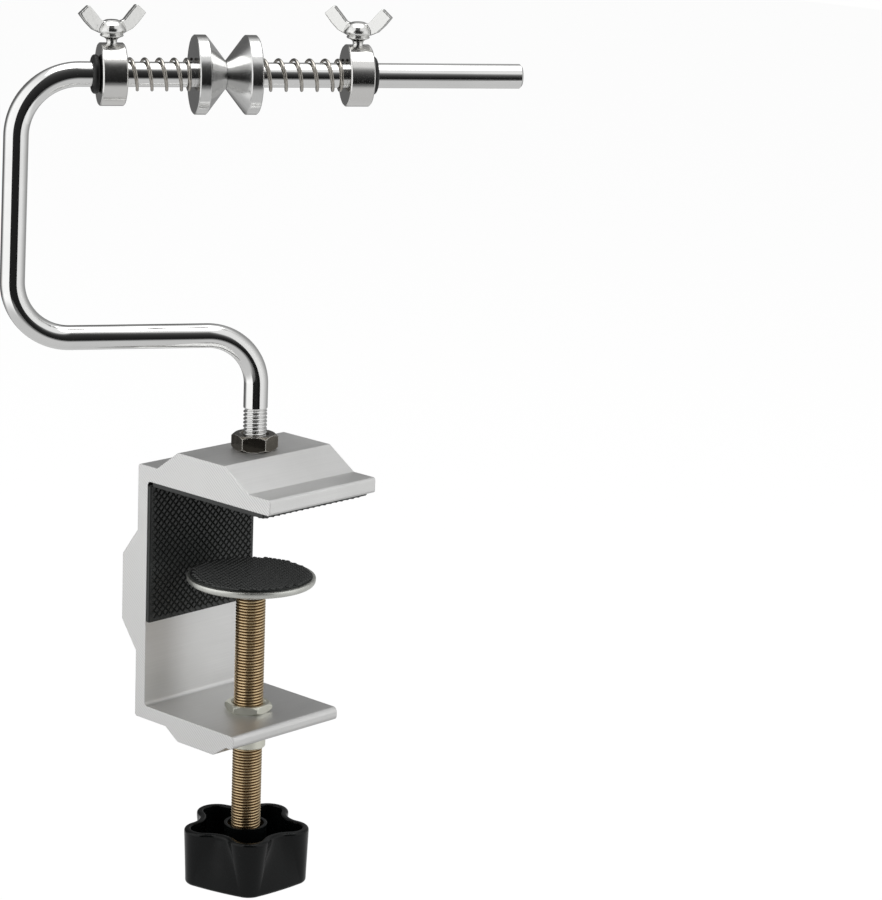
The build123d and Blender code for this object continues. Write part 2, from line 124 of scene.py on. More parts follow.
def mesh_piece(name, mesh, material):
    """A finished mesh as an object at the origin, in its material."""
    piece = placed(name, mesh)
    mesh.materials.clear()
    mesh.materials.append(material)
    return piece


# the lens stands this far round from -Y and up, and is turned a little about its own axis
azimuth, elevation, roll = radians(42.549), radians(13.723), radians(2.185)
across = Vector((cos(azimuth), sin(azimuth), 0))
out = Vector((sin(azimuth), -cos(azimuth), 0))
# the screw's travel, by which the knob can be wound down from where it rests
screw_drop = 0.0352
floor_z = cad_low.z - screw_drop

# what the metal mirrors, by its direction from the winder: bright cloth on the left, greyer on the
# right, dim behind and white above, and in front a black velvet screen, lost in the light as it climbs
screen_left, screen_right = radians(-26), radians(44)
velvet_depth = -4.07
cloth_overhead = 0.95
tent_tone = bpy.data.node_groups.new("tent_tone", "ShaderNodeTree")
tent_tone.interface.new_socket("Place", in_out="INPUT", socket_type="NodeSocketVector")
tent_tone.interface.new_socket("Tone", in_out="OUTPUT", socket_type="NodeSocketFloat")
tree = tent_tone
given = tree.nodes.new("NodeGroupInput").outputs
part = add(tree, "ShaderNodeSeparateXYZ", {0: given["Place"]})
level = add(tree, "ShaderNodeVectorMath", {0: given["Place"], 1: (1, 1, 0)}, operation="MULTIPLY")
level = add(tree, "ShaderNodeVectorMath", {0: level}, operation="NORMALIZE")
to_front = add(tree, "ShaderNodeVectorMath", {0: level, 1: tuple(out)}, operation="DOT_PRODUCT")
to_right = add(tree, "ShaderNodeVectorMath", {0: level, 1: tuple(across)}, operation="DOT_PRODUCT")
left_wall = add(tree, "ShaderNodeMapRange", {
    "Value": to_front, "From Min": -0.45, "From Max": 0.1, "To Min": 0.14, "To Max": 1.15},
    interpolation_type="SMOOTHSTEP")
right_wall = add(tree, "ShaderNodeMapRange", {
    "Value": to_front, "From Min": -0.8, "From Max": 0.3, "To Min": 0.34, "To Max": 0.92})
side = add(tree, "ShaderNodeMapRange", {"Value": to_right, "From Min": -0.1, "From Max": 0.1})
cloth = add(tree, "ShaderNodeMix", {"Factor": side, "A": left_wall, "B": right_wall})
overhead = add(tree, "ShaderNodeMapRange", {
    "Value": part.outputs["Z"], "From Min": 0.45, "From Max": 1.2}, interpolation_type="SMOOTHSTEP")
cloth = add(tree, "ShaderNodeMix", {"Factor": overhead, "A": cloth, "B": cloth_overhead})
spill = add(tree, "ShaderNodeMapRange", {
    "Value": to_right, "From Min": 0.35, "From Max": 0.7, "To Min": 1.83, "To Max": 9.5})
climb = add(tree, "ShaderNodeMath", {
    0: part.outputs["Z"], 1: spill, 2: velvet_depth}, operation="MULTIPLY_ADD")
velvet = add(tree, "ShaderNodeMath", {0: climb}, operation="EXPONENT")
velvet = add(tree, "ShaderNodeMath", {0: velvet, 1: cloth}, operation="MINIMUM")
left_edge = add(tree, "ShaderNodeMath", {0: to_right, 1: sin(screen_left)}, operation="GREATER_THAN")
right_edge = add(tree, "ShaderNodeMath", {0: to_right, 1: sin(screen_right)}, operation="LESS_THAN")
before = add(tree, "ShaderNodeMath", {0: to_front, 1: 0.0}, operation="GREATER_THAN")
hung = add(tree, "ShaderNodeMath", {0: left_edge, 1: right_edge}, operation="MULTIPLY")
hung = add(tree, "ShaderNodeMath", {0: hung, 1: before}, operation="MULTIPLY")
tone = add(tree, "ShaderNodeMix", {"Factor": hung, "A": cloth, "B": velvet})
add(tree, "NodeGroupOutput", {0: tone})

paper, tree, place = new_material("white_seamless_paper")
# matt white; the lens sees it almost evenly bright, and metal sees it dim to the tent's tone further out
lens_share, mirror_share = 0.93, 0.85
near_tone, near_reach, far_reach = 0.55, 0.38, 0.6
paper_reach = 3.0
rays = add(tree, "ShaderNodeLightPath")
seen = add(tree, "ShaderNodeMath", {
    0: rays.outputs["Is Camera Ray"], 1: rays.outputs["Is Transmission Ray"]}, operation="MAXIMUM")
seen = add(tree, "ShaderNodeMath", {0: seen, 1: lens_share}, operation="MULTIPLY")
mirrored = add(tree, "ShaderNodeMath", {
    0: rays.outputs["Is Glossy Ray"], 1: mirror_share}, operation="MULTIPLY")
share = add(tree, "ShaderNodeMath", {0: seen, 1: mirrored}, operation="MAXIMUM")
distance = add(tree, "ShaderNodeVectorMath", {0: place}, operation="LENGTH")
far = add(tree, "ShaderNodeMapRange", {
    "Value": distance, "From Min": near_reach, "From Max": far_reach}, interpolation_type="SMOOTHSTEP")
tent = add(tree, "ShaderNodeGroup", {"Place": place}, node_tree=tent_tone)
tone = add(tree, "ShaderNodeMix", {"Factor": far, "A": near_tone, "B": tent})
glow = add(tree, "ShaderNodeMix", {"Factor": rays.outputs["Is Glossy Ray"], "A": 1.0, "B": tone})
lit = add(tree, "ShaderNodeBsdfDiffuse", {"Color": linear("#f2f2f2")})
white = add(tree, "ShaderNodeEmission", {"Color": linear("#ffffff"), "Strength": glow})
mixed = add(tree, "ShaderNodeMixShader", {0: share, 1: lit, 2: white})
add(tree, "ShaderNodeOutputMaterial", {"Surface": mixed})

floor_mesh = bpy.data.meshes.new("paper_floor")
floor_mesh.from_pydata([(x * paper_reach, y * paper_reach, floor_z)
                        for x, y in ((-1, -1), (1, -1), (1, 1), (-1, 1))], [], [(0, 1, 2, 3)])
mesh_piece("paper_floor", floor_mesh, paper)

# ---- The studio ----
# A round white tent lights the winder from the sides and above. In front of it hangs a black velvet
# screen, which draws the dark band down the middle of every bright round piece.

world = bpy.data.worlds.new("white_tent")
bpy.context.scene.world = world
world.use_nodes = True
tree = world.node_tree
tree.nodes.clear()
rays = add(tree, "ShaderNodeLightPath")
seen = add(tree, "ShaderNodeMath", {
    0: rays.outputs["Is Camera Ray"], 1: rays.outputs["Is Transmission Ray"]}, operation="MAXIMUM")
fill_light = 0.69
tent = add(tree, "ShaderNodeMix", {
    "Factor": rays.outputs["Is Glossy Ray"], "A": fill_light, "B": cloth_overhead})
tent = add(tree, "ShaderNodeMix", {"Factor": seen, "A": tent, "B": 1.0})
tent_glow = add(tree, "ShaderNodeBackground", {"Color": linear("#ffffff"), "Strength": tent})
add(tree, "ShaderNodeOutputWorld", {"Surface": tent_glow})

# the camera, worked out from the clamp's corners, the rod's outlines and the round pieces' ellipses
lens_place = Vector((0.73286, -0.7075, 0.26461))
toward_lens = Vector((sin(azimuth) * cos(elevation), -cos(azimuth) * cos(elevation), sin(elevation)))
level_up = toward_lens.cross(across)
frame_right = across * cos(roll) + level_up * sin(roll)
frame_up = level_up * cos(roll) - across * sin(roll)
lens = bpy.data.cameras.new("lens")
lens.lens = 127.05
lens.sensor_width = 36.0
lens.clip_start = 0.05
camera = placed("camera", lens)
lens_turn = Matrix((frame_right, frame_up, toward_lens)).transposed()
camera.matrix_world = Matrix.Translation(lens_place) @ lens_turn.to_4x4()
bpy.context.scene.camera = camera
bpy.context.scene.view_settings.view_transform = "Standard"

tent_wall, tree, place = new_material("tent_cloth_and_velvet")
# seen by metal alone, so that it throws no light or shadow on the winder
tent = add(tree, "ShaderNodeGroup", {"Place": place}, node_tree=tent_tone)
glow = add(tree, "ShaderNodeEmission", {"Color": linear("#ffffff"), "Strength": tent})
add(tree, "ShaderNodeOutputMaterial", {"Surface": glow})

tent_radius, tent_height = 0.70, 2.5
round_tent = bmesh.new()
bmesh.ops.create_cone(round_tent, segments=96, radius1=tent_radius, radius2=tent_radius, depth=tent_height)
bmesh.ops.translate(round_tent, vec=(0, 0, floor_z + tent_height / 2), verts=round_tent.verts)
mirrored_tent = mesh_piece("tent_wall", mesh_of("tent_wall", round_tent), tent_wall)
for kind_of_ray in ("camera", "diffuse", "shadow", "transmission"):
    setattr(mirrored_tent, f"visible_{kind_of_ray}", False)

aimed_at = Vector((0, 0, 0.03))
for name, to_lens, to_side, height, size, watts in (
    ("lamp_over", -0.05, 0.0, 1.25, 1.1, 8.0),
    ("lamp_left", 0.15, -1.0, 0.36, 0.8, 6.8),
    ("lamp_right", 0.08, 1.05, 0.3, 0.7, 6.8),
):
    light = bpy.data.lights.new(name, "AREA")
    light.shape = "SQUARE"
    light.size = size
    light.energy = watts
    lamp = placed(name, light)
    stand = out * to_lens + across * to_side + Vector((0, 0, height))
    aim = (stand - aimed_at).to_track_quat("Z", "Y")
    lamp.matrix_world = Matrix.Translation(stand) @ aim.to_matrix().to_4x4()


# ---- Clamp body ----
# One cut length of an aluminium extrusion, blasted satin all over. The saw has left its fine slanting
# lines on the two end faces, and the cut edges are only just broken, so they catch the light.

def dress(material, *node_names):
    """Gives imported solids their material."""
    for node_name in node_names:
        for slot in nodes[node_name].material_slots:
            slot.material = material


satin_aluminium, tree, place = new_material("blasted_aluminium")
# grey metal with a soft grain; the saw's lines are 0.9 mm apart, coarser than a real blade's, and come
# and go, and the other faces carry the die's long fine lines along Y
end_face_limit, saw_slant = 0.95, radians(-38)
shape = add(tree, "ShaderNodeNewGeometry")
facing = add(tree, "ShaderNodeSeparateXYZ", {0: shape.outputs["Normal"]})
sideways = add(tree, "ShaderNodeMath", {0: facing.outputs["Y"]}, operation="ABSOLUTE")
sawn = add(tree, "ShaderNodeMath", {0: sideways, 1: end_face_limit}, operation="GREATER_THAN")
grit = add(tree, "ShaderNodeTexNoise", {"Vector": place, "Scale": 2600.0, "Detail": 3.0})
cloud = add(tree, "ShaderNodeTexNoise", {"Vector": place, "Scale": 55.0, "Detail": 4.0})
drawn_place = add(tree, "ShaderNodeMapping", {"Vector": place, "Scale": (1.0, 0.012, 1.0)})
drawn = add(tree, "ShaderNodeTexNoise", {"Vector": drawn_place, "Scale": 2200.0, "Detail": 2.0})
saw_place = add(tree, "ShaderNodeMapping", {"Vector": place, "Rotation": (0, saw_slant, 0)})
saw = add(tree, "ShaderNodeTexWave", {
    "Vector": saw_place, "Scale": 349.0, "Distortion": 1.9, "Detail": 3.0, "Detail Scale": 0.6},
    bands_direction="Z")
scratch = add(tree, "ShaderNodeMapRange", {"Value": saw.outputs["Fac"], "From Max": 0.38})
worn = add(tree, "ShaderNodeMapRange", {
    "Value": cloud, "From Min": 0.4, "From Max": 0.62, "To Min": 0.97, "To Max": 0.8})
saw_tone = add(tree, "ShaderNodeMix", {"Factor": scratch, "A": worn, "B": 1.02})
plain_tone = add(tree, "ShaderNodeMapRange", {"Value": drawn, "To Min": 0.95, "To Max": 1.05})
tone = add(tree, "ShaderNodeMix", {"Factor": sawn, "A": plain_tone, "B": saw_tone})
patch = add(tree, "ShaderNodeMapRange", {"Value": cloud, "To Min": 0.93, "To Max": 1.07})
tone = add(tree, "ShaderNodeMath", {0: tone, 1: patch}, operation="MULTIPLY")
metal = add(tree, "ShaderNodeVectorMath", {0: linear("#cececd")[:3], "Scale": tone}, operation="SCALE")
rough = add(tree, "ShaderNodeMapRange", {"Value": cloud, "To Min": 0.36, "To Max": 0.48})
grain_height = add(tree, "ShaderNodeMix", {"Factor": sawn, "A": grit, "B": saw.outputs["Fac"]})
soft_edge = add(tree, "ShaderNodeBevel", {"Radius": 0.00035}, samples=4)
grain = add(tree, "ShaderNodeBump", {
    "Height": grain_height, "Strength": 0.35, "Distance": 0.00012, "Normal": soft_edge})
shader = add(tree, "ShaderNodeBsdfPrincipled", {
    "Base Color": metal, "Metallic": 1.0, "Roughness": rough, "Normal": grain})
add(tree, "ShaderNodeOutputMaterial", {"Surface": shader})
dress(satin_aluminium, "clamp_frame")


# ---- Rubber pads ----
# Three sheets of black rubber with a knurled face, pressed in a heated mould: one glued to the wall,
# one under the top jaw, and a round one let into the pressure disc, with a slightly finer knurl.

pad_rubber, tree, place = new_material("moulded_black_rubber")
# dark green-grey, duller in the grooves, with a faint sheen on the tops of the ridges
dust = add(tree, "ShaderNodeTexNoise", {"Vector": place, "Scale": 900.0, "Detail": 4.0})
wear = add(tree, "ShaderNodeTexNoise", {"Vector": place, "Scale": 70.0, "Detail": 3.0})
ramp = add(tree, "ShaderNodeMix", {
    "Factor": wear, "A": linear("#0a0d0c"), "B": linear("#191d1b")}, data_type="RGBA")
rough = add(tree, "ShaderNodeMapRange", {"Value": dust, "To Min": 0.32, "To Max": 0.54})
grain = add(tree, "ShaderNodeBump", {"Height": dust, "Strength": 0.25, "Distance": 0.0001})
shader = add(tree, "ShaderNodeBsdfPrincipled", {
    "Base Color": ramp, "Roughness": rough, "Normal": grain, "Specular IOR Level": 0.5})
add(tree, "ShaderNodeOutputMaterial", {"Surface": shader})


def new_group(name, *wanted):
    """An empty geometry tree with named inputs, each a (name, kind) pair, and their sockets."""
    made = bpy.data.node_groups.new(name, "GeometryNodeTree")
    made.interface.new_socket("Geometry", in_out="OUTPUT", socket_type="NodeSocketGeometry")
    for label, kind in wanted:
        made.interface.new_socket(label, in_out="INPUT", socket_type=f"NodeSocket{kind}")
    return made, made.nodes.new("NodeGroupInput").outputs


def grown(name, group, mesh, **values):
    """Runs a geometry tree on a mesh with its inputs set, and returns the result as a plain mesh."""
    carrier = placed(name, mesh or bpy.data.meshes.new(name))
    modifier = carrier.modifiers.new(group.name, "NODES")
    modifier.node_group = group
    for item in group.interface.items_tree:
        if item.in_out == "INPUT" and item.name in values:
            modifier[item.identifier] = values[item.name]
    result = taken_from(carrier)
    result.name = name
    return result


knurl, given = new_group(
    "moulded_knurl", ("Sheet", "Geometry"), ("Pitch", "Float"), ("Height", "Float"), ("Reach", "Float"),
    ("Half_length", "Float"), ("Half_width", "Float"), ("Radius", "Float"), ("Turn", "Float"),
    ("Face", "Float"), ("Rubber", "Material"))
tree = knurl
count = add(tree, "ShaderNodeMath", {0: given["Reach"], 1: given["Pitch"]}, operation="DIVIDE")
count = add(tree, "ShaderNodeMath", {0: count}, operation="ROUND")
span = add(tree, "ShaderNodeMath", {0: count, 1: given["Pitch"]}, operation="MULTIPLY")
posts = add(tree, "ShaderNodeMath", {0: count, 1: 1.0}, operation="ADD")
grid = add(tree, "GeometryNodeMeshGrid", {
    "Size X": span, "Size Y": span, "Vertices X": posts, "Vertices Y": posts})
spin = add(tree, "ShaderNodeCombineXYZ", {"Z": given["Turn"]})
lift = add(tree, "ShaderNodeCombineXYZ", {"Z": given["Face"]})
laid = add(tree, "GeometryNodeTransform", {"Geometry": grid, "Rotation": spin, "Translation": lift})
spot = add(tree, "GeometryNodeInputPosition")
part = add(tree, "ShaderNodeSeparateXYZ", {0: spot})
beyond = []
for axis_name, limit in (("X", "Half_length"), ("Y", "Half_width")):
    distance = add(tree, "ShaderNodeMath", {0: part.outputs[axis_name]}, operation="ABSOLUTE")
    beyond.append(add(tree, "ShaderNodeMath", {0: distance, 1: given[limit]}, operation="SUBTRACT"))
flat_spot = add(tree, "ShaderNodeCombineXYZ", {"X": part.outputs["X"], "Y": part.outputs["Y"]})
distance = add(tree, "ShaderNodeVectorMath", {0: flat_spot}, operation="LENGTH")
beyond.append(add(tree, "ShaderNodeMath", {0: distance, 1: given["Radius"]}, operation="SUBTRACT"))
furthest = add(tree, "ShaderNodeMath", {0: beyond[0], 1: beyond[1]}, operation="MAXIMUM")
furthest = add(tree, "ShaderNodeMath", {0: furthest, 1: beyond[2]}, operation="MAXIMUM")
outside = add(tree, "FunctionNodeCompare", {"A": furthest, "B": 0.0}, operation="GREATER_THAN")
kept = add(tree, "GeometryNodeDeleteGeometry", {"Geometry": laid, "Selection": outside}, domain="POINT")
foot_share, top_share = 0.69, 0.42
foot = add(tree, "ShaderNodeMath", {0: given["Pitch"], 1: foot_share}, operation="MULTIPLY")
top = add(tree, "ShaderNodeMath", {0: given["Pitch"], 1: top_share}, operation="MULTIPLY")
stud = add(tree, "GeometryNodeMeshCone", {
    "Vertices": 4, "Radius Top": top, "Radius Bottom": foot, "Depth": given["Height"]}, fill_type="NGON")
corner_turn = add(tree, "ShaderNodeMath", {0: given["Turn"], 1: radians(45)}, operation="ADD")
stud_spin = add(tree, "ShaderNodeCombineXYZ", {"Z": corner_turn})
uneven = add(tree, "FunctionNodeRandomValue", {"Min": 0.86, "Max": 1.0, "Seed": 4})
stud_size = add(tree, "ShaderNodeCombineXYZ", {"X": 1.0, "Y": 1.0, "Z": uneven})
studs = add(tree, "GeometryNodeInstanceOnPoints", {
    "Points": kept, "Instance": stud, "Rotation": stud_spin, "Scale": stud_size})
joined = add(tree, "GeometryNodeJoinGeometry")
tree.links.new(given["Sheet"], joined.inputs[0])
tree.links.new(studs.outputs[0], joined.inputs[0])
real = add(tree, "GeometryNodeRealizeInstances", {0: joined})
painted = add(tree, "GeometryNodeSetMaterial", {"Geometry": real, "Material": given["Rubber"]})
add(tree, "NodeGroupOutput", {0: painted})


def rubber_sheet(name, length, width, thickness, round_edge):
    """A flat sheet lying on z = 0 with its upper edges rounded."""
    sheet = bmesh.new()
    bmesh.ops.create_cube(sheet, size=1.0)
    bmesh.ops.scale(sheet, vec=(length, width, thickness), verts=sheet.verts)
    bmesh.ops.translate(sheet, vec=(0, 0, thickness / 2), verts=sheet.verts)
    upper = [e for e in sheet.edges if all(v.co.z > thickness * 0.9 for v in e.verts)]
    upright = [e for e in sheet.edges if abs(e.verts[0].co.z - e.verts[1].co.z) > thickness * 0.9]
    bmesh.ops.bevel(sheet, geom=upper + upright, offset=round_edge, segments=3, affect="EDGES")
    return mesh_of(name, sheet)


ridge, knurl_pitch = 0.0005, 0.00184
low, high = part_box("back_pad")
margin = 0.0012
sheet = rubber_sheet(
    "back_pad_sheet", high.z - low.z, high.y - low.y, high.x - low.x - ridge, round_edge=0.0004)
mesh = grown(
    "back_pad_knurled", knurl, sheet, Pitch=knurl_pitch, Height=ridge, Reach=0.08,
    Half_length=(high.z - low.z) / 2 - margin, Half_width=(high.y - low.y) / 2 - margin, Radius=1.0,
    Turn=radians(45), Face=high.x - low.x - ridge, Rubber=pad_rubber)
mesh.transform(Matrix.Translation((low.x, (low.y + high.y) / 2, (low.z + high.z) / 2))
               @ Matrix.Rotation(radians(90), 4, "Y"))
back_pad = mesh_piece("back_pad_knurled", mesh, pad_rubber)
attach(back_pad, "clamp")
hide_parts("back_pad")

low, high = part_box("top_jaw_pad")
margin = 0.001
sheet = rubber_sheet(
    "top_pad_sheet", high.x - low.x, high.y - low.y, high.z - low.z - ridge, round_edge=0.0003)
mesh = grown(
    "top_pad_knurled", knurl, sheet, Pitch=knurl_pitch, Height=ridge, Reach=0.08,
    Half_length=(high.x - low.x) / 2 - margin, Half_width=(high.y - low.y) / 2 - margin, Radius=1.0,
    Turn=radians(45), Face=high.z - low.z - ridge, Rubber=pad_rubber)
mesh.transform(Matrix.Translation(((low.x + high.x) / 2, (low.y + high.y) / 2, high.z))
               @ Matrix.Rotation(pi, 4, "X"))
top_pad = mesh_piece("top_pad_knurled", mesh, pad_rubber)
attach(top_pad, "clamp")
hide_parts("top_jaw_pad")

low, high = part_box("disc_pad")
radius = (high.x - low.x) / 2
fine_ridge, fine_pitch, margin = 0.0005, 0.00165, 0.0008
sheet_thickness = high.z - low.z - fine_ridge
disc_sheet = bmesh.new()
bmesh.ops.create_cone(disc_sheet, cap_ends=True, segments=96, radius1=radius, radius2=radius,
                      depth=sheet_thickness)
bmesh.ops.translate(disc_sheet, vec=(0, 0, sheet_thickness / 2), verts=disc_sheet.verts)
rim_edges = [e for e in disc_sheet.edges
             if all(v.co.z > sheet_thickness * 0.9 for v in e.verts) and e.calc_length() < radius / 4]
bmesh.ops.bevel(disc_sheet, geom=rim_edges, offset=0.0003, segments=2, affect="EDGES")
sheet = mesh_of("disc_pad_sheet", disc_sheet)
mesh = grown(
    "disc_pad_knurled", knurl, sheet, Pitch=fine_pitch, Height=fine_ridge, Reach=0.045, Half_length=1.0,
    Half_width=1.0, Radius=radius - margin, Turn=radians(20), Face=sheet_thickness, Rubber=pad_rubber)
mesh.transform(Matrix.Translation((0, 0, low.z)))
disc_pad = mesh_piece("disc_pad_knurled", mesh, pad_rubber)
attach(disc_pad, "disc")
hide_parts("disc_pad")


# ---- Pressure disc ----
# A turned disc of plain steel, matt nickel plated, with its edge rolled over round the rubber and a hub
# swaged in under the head of the screw, with a steel ball between the two.

satin_disc, tree, place = new_material("matt_nickel_plate")
# pale satin grey with the faint rings of the lathe, 0.8 mm apart
rings = add(tree, "ShaderNodeTexWave", {
    "Vector": place, "Scale": 390.0, "Distortion": 0.3}, wave_type="RINGS", rings_direction="Z")
cloud = add(tree, "ShaderNodeTexNoise", {"Vector": place, "Scale": 240.0, "Detail": 3.0})
rough = add(tree, "ShaderNodeMapRange", {"Value": cloud, "To Min": 0.30, "To Max": 0.44})
tone = add(tree, "ShaderNodeMix", {
    "Factor": cloud, "A": linear("#bfc0ba"), "B": linear("#d6d7d2")}, data_type="RGBA")
soft_edge = add(tree, "ShaderNodeBevel", {"Radius": 0.0003}, samples=4)
grain = add(tree, "ShaderNodeBump", {
    "Height": rings.outputs["Fac"], "Strength": 0.12, "Distance": 0.00005, "Normal": soft_edge})
shader = add(tree, "ShaderNodeBsdfPrincipled", {
    "Base Color": tone, "Metallic": 1.0, "Roughness": rough, "Normal": grain})
add(tree, "ShaderNodeOutputMaterial", {"Surface": shader})
dress(satin_disc, "pressure_disc")

bearing_steel, tree, place = new_material("polished_bearing_steel")
# near mirror, with a few fine scuffs
scuffs = add(tree, "ShaderNodeTexNoise", {"Vector": place, "Scale": 1500.0, "Detail": 3.0})
rough = add(tree, "ShaderNodeMapRange", {"Value": scuffs, "To Min": 0.05, "To Max": 0.16})
shader = add(tree, "ShaderNodeBsdfPrincipled", {
    "Base Color": linear("#c9c9c8"), "Metallic": 1.0, "Roughness": rough})
add(tree, "ShaderNodeOutputMaterial", {"Surface": shader})
dress(bearing_steel, "swivel_ball")


# ---- Clamp screw ----
# Steel with a fine rolled thread, zinc plated and passivated to a golden brown. The neck and the cupped
# head at its top sit in the disc's hub, and its foot is moulded into the knob.

def round_z(tree, angle, radius, height):
    """Nodes that place a point at an angle round Z, with its distance from Z and its height."""
    flat = {}
    for axis_name, turned in (("X", "COSINE"), ("Y", "SINE")):
        share_of_radius = add(tree, "ShaderNodeMath", {0: angle}, operation=turned)
        flat[axis_name] = add(tree, "ShaderNodeMath", {0: share_of_radius, 1: radius}, operation="MULTIPLY")
    return add(tree, "ShaderNodeCombineXYZ", {**flat, "Z": height})


cut_thread, given = new_group(
    "cut_thread", ("Crest_radius", "Float"), ("Root_radius", "Float"), ("Pitch", "Float"),
    ("Length", "Float"), ("Middle", "Float"), ("Rows", "Int"), ("Sides", "Int"), ("Metal", "Material"))
tree = cut_thread
turns = add(tree, "ShaderNodeMath", {0: given["Length"], 1: given["Pitch"]}, operation="DIVIDE")
turns = add(tree, "ShaderNodeMath", {0: turns}, operation="CEIL")
turns = add(tree, "ShaderNodeMath", {0: turns, 1: 2.0}, operation="ADD")
rows = add(tree, "ShaderNodeMath", {0: turns, 1: given["Rows"]}, operation="MULTIPLY")
rows = add(tree, "ShaderNodeMath", {0: rows, 1: 1.0}, operation="ADD")
tall = add(tree, "ShaderNodeMath", {0: turns, 1: given["Pitch"]}, operation="MULTIPLY")
ring = add(tree, "ShaderNodeMath", {0: given["Sides"], 1: 1.0}, operation="ADD")
grid = add(tree, "GeometryNodeMeshGrid", {
    "Size X": tall, "Size Y": 2 * pi, "Vertices X": rows, "Vertices Y": ring})
spot = add(tree, "GeometryNodeInputPosition")
part = add(tree, "ShaderNodeSeparateXYZ", {0: spot})
half_pitch = add(tree, "ShaderNodeMath", {0: given["Pitch"], 1: 0.5}, operation="MULTIPLY")
wave = add(tree, "ShaderNodeMath", {0: part.outputs["X"], 1: half_pitch}, operation="PINGPONG")
wave = add(tree, "ShaderNodeMapRange", {
    "Value": wave, "From Min": 0.0, "From Max": half_pitch, "To Min": -0.1, "To Max": 1.6})
wave = add(tree, "ShaderNodeClamp", {"Value": wave})
climb = add(tree, "ShaderNodeMath", {0: part.outputs["Y"], 1: 1 / (2 * pi)}, operation="MULTIPLY")
climb = add(tree, "ShaderNodeMath", {0: climb, 1: given["Pitch"]}, operation="MULTIPLY")
height = add(tree, "ShaderNodeMath", {0: part.outputs["X"], 1: climb}, operation="ADD")
half = add(tree, "ShaderNodeMath", {0: given["Length"], 1: 0.5}, operation="MULTIPLY")
minus_half = add(tree, "ShaderNodeMath", {0: half, 1: -1.0}, operation="MULTIPLY")
height = add(tree, "ShaderNodeMath", {0: height, 1: half}, operation="MINIMUM")
height = add(tree, "ShaderNodeMath", {0: height, 1: minus_half}, operation="MAXIMUM")
depth = add(tree, "ShaderNodeMath", {
    0: given["Crest_radius"], 1: given["Root_radius"]}, operation="SUBTRACT")
rise = add(tree, "ShaderNodeMath", {0: wave, 1: depth}, operation="MULTIPLY")
from_end = add(tree, "ShaderNodeMath", {0: height}, operation="ABSOLUTE")
from_end = add(tree, "ShaderNodeMath", {0: half, 1: from_end}, operation="SUBTRACT")
rise = add(tree, "ShaderNodeMath", {0: rise, 1: from_end}, operation="MINIMUM")
radius_here = add(tree, "ShaderNodeMath", {0: rise, 1: given["Root_radius"]}, operation="ADD")
rolled = round_z(tree, part.outputs["Y"], radius_here, height)
wound = add(tree, "GeometryNodeSetPosition", {"Geometry": grid, "Position": rolled})
outward = add(tree, "GeometryNodeFlipFaces", {0: wound})
pieces = [outward]
for end in (half, minus_half):
    cap = add(tree, "GeometryNodeMeshCircle", {
        "Vertices": given["Sides"], "Radius": given["Root_radius"]}, fill_type="TRIANGLE_FAN")
    cap_place = add(tree, "ShaderNodeCombineXYZ", {"Z": end})
    moved = add(tree, "GeometryNodeTransform", {"Geometry": cap, "Translation": cap_place})
    pieces.append(moved if end is half else add(tree, "GeometryNodeFlipFaces", {0: moved}))
joined = add(tree, "GeometryNodeJoinGeometry")
for piece in pieces:
    tree.links.new(piece.outputs[0], joined.inputs[0])
closed = add(tree, "GeometryNodeMergeByDistance", {"Geometry": joined, "Distance": 0.000004})
stand = add(tree, "ShaderNodeCombineXYZ", {"Z": given["Middle"]})
stood = add(tree, "GeometryNodeTransform", {"Geometry": closed, "Translation": stand})
smooth = add(tree, "GeometryNodeSetShadeSmooth", {"Geometry": stood, "Shade Smooth": True})
painted = add(tree, "GeometryNodeSetMaterial", {"Geometry": smooth, "Material": given["Metal"]})
add(tree, "NodeGroupOutput", {0: painted})


def lathe(name, profile, sides=64):
    """A turned shape about Z, from (radius, height) points that start and end on the axis."""
    points = [Vector((r, 0, z)) for r, z in profile]
    turned = bmesh.new()
    verts = [turned.verts.new(p) for p in points]
    edges = [turned.edges.new(pair) for pair in zip(verts, verts[1:])]
    bmesh.ops.spin(turned, geom=verts + edges, axis=(0, 0, 1), cent=(0, 0, 0), angle=2 * pi, steps=sides)
    bmesh.ops.remove_doubles(turned, verts=turned.verts, dist=1e-6)
    bmesh.ops.recalc_face_normals(turned, faces=turned.faces)
    return mesh_of(name, turned)


def joined_mesh(name, *meshes):
    """Several meshes as one, unwelded."""
    whole = bmesh.new()
    for mesh in meshes:
        whole.from_mesh(mesh)
    return mesh_of(name, whole)


def shade_by_angle(mesh, angle=35.0):
    """Smooth shading with the edges sharper than an angle kept crisp."""
    whole = bmesh.new()
    whole.from_mesh(mesh)
    for face in whole.faces:
        face.smooth = True
    for edge in whole.edges:
        edge.smooth = not edge.is_manifold or edge.calc_face_angle(0) < radians(angle)
    whole.to_mesh(mesh)
    whole.free()
    return mesh


golden_zinc, tree, place = new_material("passivated_zinc_steel")
# warm metal with painted shade: dark brown down in the thread's valleys and bright on its crests, set by
# distance from the axis; the plating is also duller in the valleys
part = add(tree, "ShaderNodeSeparateXYZ", {0: place})
flat_place = add(tree, "ShaderNodeCombineXYZ", {"X": part.outputs["X"], "Y": part.outputs["Y"]})
off_axis = add(tree, "ShaderNodeVectorMath", {0: flat_place}, operation="LENGTH")
# painted shade: nearer the axis, in the thread's valleys, the colour turns dark brown; the same mask makes
# the valleys rougher
crest_share_valley_shade = add(tree, "ShaderNodeMapRange", {"Value": off_axis, "From Min": 0.00452, "From Max": 0.00496})
stain = add(tree, "ShaderNodeTexNoise", {"Vector": place, "Scale": 160.0, "Detail": 4.0})
warm = add(tree, "ShaderNodeMix", {
    "Factor": stain, "A": linear("#cbb088"), "B": linear("#e6d0a8")}, data_type="RGBA")
tone = add(tree, "ShaderNodeMix", {"Factor": crest_share_valley_shade, "A": linear("#6b5238"), "B": warm}, data_type="RGBA")
rough = add(tree, "ShaderNodeMapRange", {"Value": crest_share_valley_shade, "To Min": 0.45, "To Max": 0.2})
